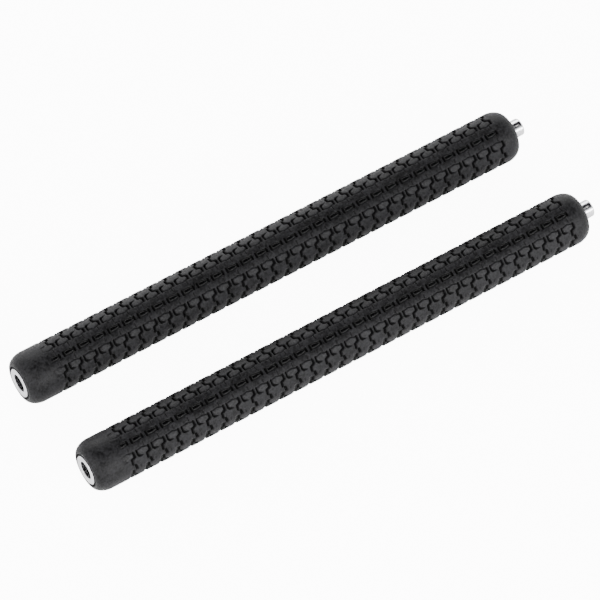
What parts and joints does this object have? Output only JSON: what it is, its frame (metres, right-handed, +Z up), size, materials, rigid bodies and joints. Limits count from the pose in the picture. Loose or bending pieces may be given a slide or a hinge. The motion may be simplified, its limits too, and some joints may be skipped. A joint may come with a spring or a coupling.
{
  "type": "focus training sticks",
  "caption": "Pair of short boxing training sticks: treaded, dome-ended rubber sleeves on metal tubes, each with a socket in one end and a slotted stud on the other.",
  "frame": {"origin": "middle of the pair's footprint, on the ground", "axes": "+X along the sticks, from the socket ends to the stud ends; +Y from the front stick to the rear one; +Z up"},
  "size_m": [0.542, 0.1634, 0.05],
  "materials": {
    "tread_rubber": "matte moulded rubber with a raised tread, glossier on the pads",
    "tube_metal": "drawn tube",
    "polished_metal": "polished",
    "satin_metal": "turned",
    "dark_steel": "blackened, satin",
    "spring_steel": "tempered, lightly polished",
    "soft_rubber": "matte"
  },
  "bodies": {
    "front_stick": {"front_sleeve": "tread_rubber", "front_core_tube": "tube_metal", "front_end_ring": "polished_metal", "front_socket_insert": "dark_steel", "front_buffer": "soft_rubber", "front_hub": "satin_metal", "front_stud": "polished_metal", "front_spring_cage": "spring_steel", "front_socket_pin": "spring_steel", "front_hub_pin": "spring_steel"},
    "rear_stick": {"rear_sleeve": "tread_rubber", "rear_core_tube": "tube_metal", "rear_end_ring": "polished_metal", "rear_socket_insert": "dark_steel", "rear_buffer": "soft_rubber", "rear_hub": "satin_metal", "rear_stud": "polished_metal", "rear_spring_cage": "spring_steel", "rear_socket_pin": "spring_steel", "rear_hub_pin": "spring_steel"}
  },
  "joints": [
    {"name": "rear_stick_lift", "type": "slide", "parent": "front_stick", "child": "rear_stick", "axis": [0, 0, 1], "range_m": [0, 0.25]}
  ]
}
